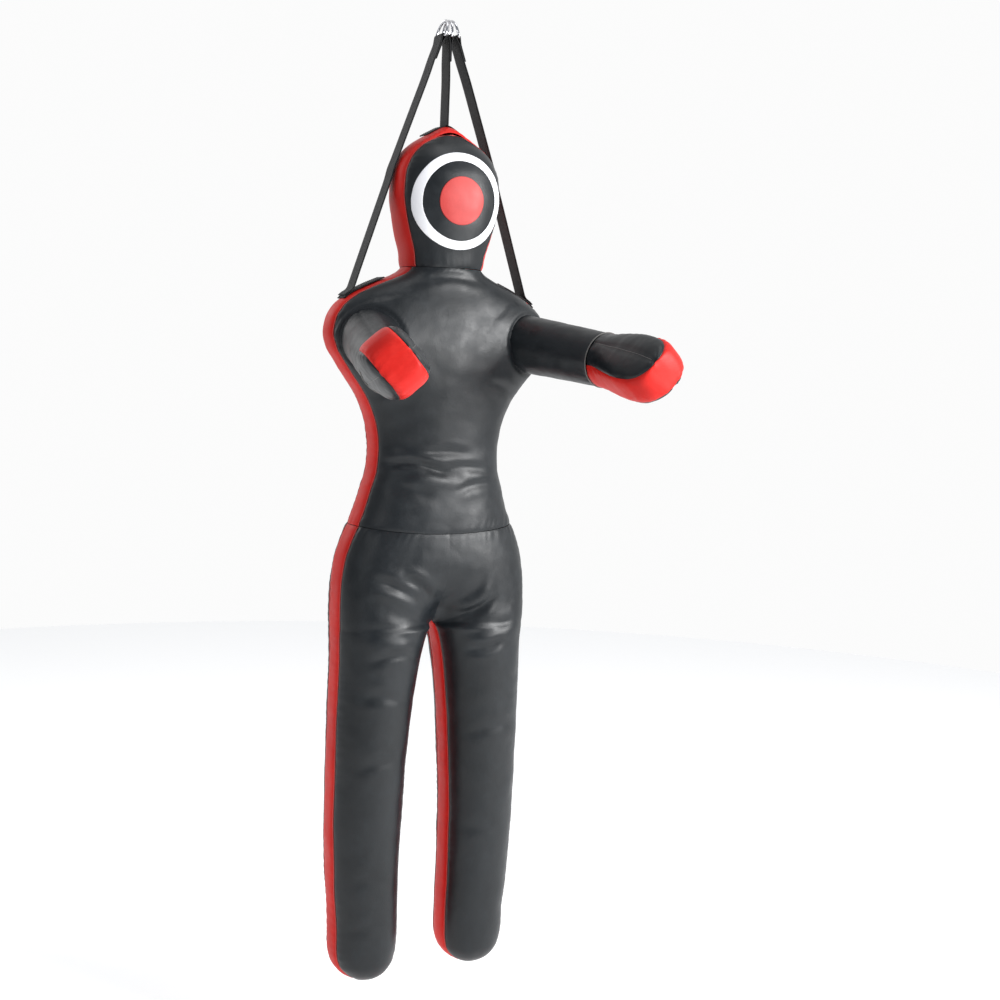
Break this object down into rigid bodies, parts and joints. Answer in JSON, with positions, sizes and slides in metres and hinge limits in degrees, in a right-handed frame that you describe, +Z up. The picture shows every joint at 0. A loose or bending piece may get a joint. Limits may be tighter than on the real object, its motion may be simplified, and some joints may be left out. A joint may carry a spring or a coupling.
{
  "type": "grappling dummy",
  "caption": "Life-size stuffed grappling dummy of black and red leather with a face target, arms reaching forward, hung by webbing straps and rings",
  "frame": {"origin": "the point where the hook bears inside the three hanging rings", "axes": "+Z up, the dummy faces -Y, its left side is +X"},
  "size_m": [0.6385, 0.5509, 1.9028],
  "materials": {
    "black_leather": "black synthetic leather, semi-gloss, fine grain",
    "red_leather": "red synthetic leather, semi-gloss, fine grain",
    "filling": "packed textile shreds, never seen",
    "webbing": "black woven nylon webbing",
    "ring_steel": "bright nickel or chrome plated steel wire",
    "target_white": "white printed or appliqued ring, satin",
    "target_red": "red printed or appliqued disc, satin",
    "zip_tape": "black woven zip tape",
    "zip_coil": "black nylon coil",
    "zip_metal": "nickel plated zinc, worn satin"
  },
  "bodies": {
    "torso": {"torso_filling": "filling", "torso_front_panel": "black_leather", "torso_back_panel_left": "black_leather", "torso_back_panel_right": "black_leather", "torso_gusset_left": "red_leather", "torso_gusset_right": "red_leather", "zipper_tape_left": "zip_tape", "zipper_tape_right": "zip_tape", "zipper_teeth": "zip_coil", "left_shoulder_anchor": "webbing", "right_shoulder_anchor": "webbing", "left_strap": "webbing", "right_strap": "webbing", "head_strap": "webbing", "head_ring": "ring_steel"},
    "head": {"head_filling": "filling", "head_front_panel": "black_leather", "head_back_panel": "black_leather", "head_gusset": "red_leather", "face_target_ring": "target_white", "face_target_disc": "target_red", "crown_anchor": "webbing"},
    "pelvis": {"pelvis_filling": "filling", "pelvis_front_panel": "black_leather", "pelvis_back_panel": "black_leather", "pelvis_gusset_left": "red_leather", "pelvis_gusset_right": "red_leather"},
    "slider": {"zipper_slider": "zip_metal"},
    "pull": {"zipper_pull": "zip_metal"},
    "left_ring_body": {"left_ring": "ring_steel"},
    "right_ring_body": {"right_ring": "ring_steel"},
    "left_upper_arm": {"left_upper_arm_filling": "filling", "left_upper_arm_sleeve": "black_leather"},
    "left_forearm": {"left_forearm_filling": "filling", "left_forearm_panel_inner": "black_leather", "left_forearm_panel_outer": "black_leather", "left_hand_gusset": "red_leather"},
    "left_leg": {"left_leg_filling": "filling", "left_leg_front_panel": "black_leather", "left_leg_back_panel": "black_leather", "left_leg_gusset": "red_leather"},
    "right_upper_arm": {"right_upper_arm_filling": "filling", "right_upper_arm_sleeve": "black_leather"},
    "right_forearm": {"right_forearm_filling": "filling", "right_forearm_panel_inner": "black_leather", "right_forearm_panel_outer": "black_leather", "right_hand_gusset": "red_leather"},
    "right_leg": {"right_leg_filling": "filling", "right_leg_front_panel": "black_leather", "right_leg_back_panel": "black_leather", "right_leg_gusset": "red_leather"}
  },
  "joints": [
    {"name": "neck_tilt", "type": "hinge", "parent": "torso", "child": "head", "pos_m": [0, -0.0083, -0.49], "axis": [1, 0, 0], "range_deg": [-18, 18], "stiffness_Nm_per_rad": 12, "deforming": ["head_front_panel", "head_back_panel", "head_gusset", "head_strap", "crown_anchor", "torso_front_panel", "torso_back_panel_left", "torso_back_panel_right", "torso_gusset_left", "torso_gusset_right"]},
    {"name": "waist_bend", "type": "hinge", "parent": "torso", "child": "pelvis", "pos_m": [0, 0, -0.88], "axis": [1, 0, 0], "range_deg": [-20, 20], "deforming": ["torso_front_panel", "torso_back_panel_left", "torso_back_panel_right", "torso_gusset_left", "torso_gusset_right", "pelvis_front_panel", "pelvis_back_panel", "pelvis_gusset_left", "pelvis_gusset_right", "zipper_tape_left", "zipper_tape_right", "zipper_teeth"]},
    {"name": "left_shoulder", "type": "hinge", "parent": "torso", "child": "left_upper_arm", "pos_m": [0.163, -0.045, -0.638], "axis": [0.891, 0.454, 0], "range_deg": [-20, 20], "stiffness_Nm_per_rad": 12, "deforming": ["left_upper_arm_sleeve", "torso_front_panel", "torso_gusset_left"]},
    {"name": "left_elbow", "type": "hinge", "parent": "left_upper_arm", "child": "left_forearm", "pos_m": [0.25741, -0.23029, -0.66723], "axis": [0.9986, 0.0523, 0], "range_deg": [-25, 25], "stiffness_Nm_per_rad": 4, "deforming": ["left_upper_arm_sleeve", "left_forearm_panel_inner", "left_forearm_panel_outer", "left_hand_gusset"]},
    {"name": "left_hip", "type": "hinge", "parent": "pelvis", "child": "left_leg", "pos_m": [0.1035, 0, -1.165], "axis": [1, 0, 0], "range_deg": [-40, 40], "deforming": ["left_leg_front_panel", "left_leg_back_panel", "left_leg_gusset", "pelvis_front_panel", "pelvis_back_panel", "pelvis_gusset_left", "pelvis_gusset_right"]},
    {"name": "right_shoulder", "type": "hinge", "parent": "torso", "child": "right_upper_arm", "pos_m": [-0.163, -0.045, -0.638], "axis": [0.9781, -0.2079, 0], "range_deg": [-20, 20], "stiffness_Nm_per_rad": 12, "deforming": ["right_upper_arm_sleeve", "torso_front_panel", "torso_gusset_right"]},
    {"name": "right_elbow", "type": "hinge", "parent": "right_upper_arm", "child": "right_forearm", "pos_m": [-0.20536, -0.24431, -0.6888], "axis": [0.9397, -0.342, 0], "range_deg": [-25, 25], "stiffness_Nm_per_rad": 4, "deforming": ["right_upper_arm_sleeve", "right_forearm_panel_inner", "right_forearm_panel_outer", "right_hand_gusset"]},
    {"name": "right_hip", "type": "hinge", "parent": "pelvis", "child": "right_leg", "pos_m": [-0.1035, 0, -1.165], "axis": [1, 0, 0], "range_deg": [-40, 40], "deforming": ["right_leg_front_panel", "right_leg_back_panel", "right_leg_gusset", "pelvis_front_panel", "pelvis_back_panel", "pelvis_gusset_left", "pelvis_gusset_right"]},
    {"name": "left_ring_fold", "type": "hinge", "parent": "torso", "child": "left_ring_body", "pos_m": [0.0155, 0, -0.031], "axis": [0, 1, 0], "range_deg": [0, 45], "deforming": ["left_strap"]},
    {"name": "right_ring_fold", "type": "hinge", "parent": "torso", "child": "right_ring_body", "pos_m": [-0.0155, 0, -0.031], "axis": [0, 1, 0], "range_deg": [-45, 0], "deforming": ["right_strap"]},
    {"name": "zip_slide", "type": "slide", "parent": "torso", "child": "slider", "axis": [0, 0, -1], "range_m": [0, 0.225]},
    {"name": "zip_pull_swing", "type": "hinge", "parent": "slider", "child": "pull", "pos_m": [0, 0.10524, -0.6405], "axis": [1, 0, 0], "range_deg": [0, 45]}
  ]
}
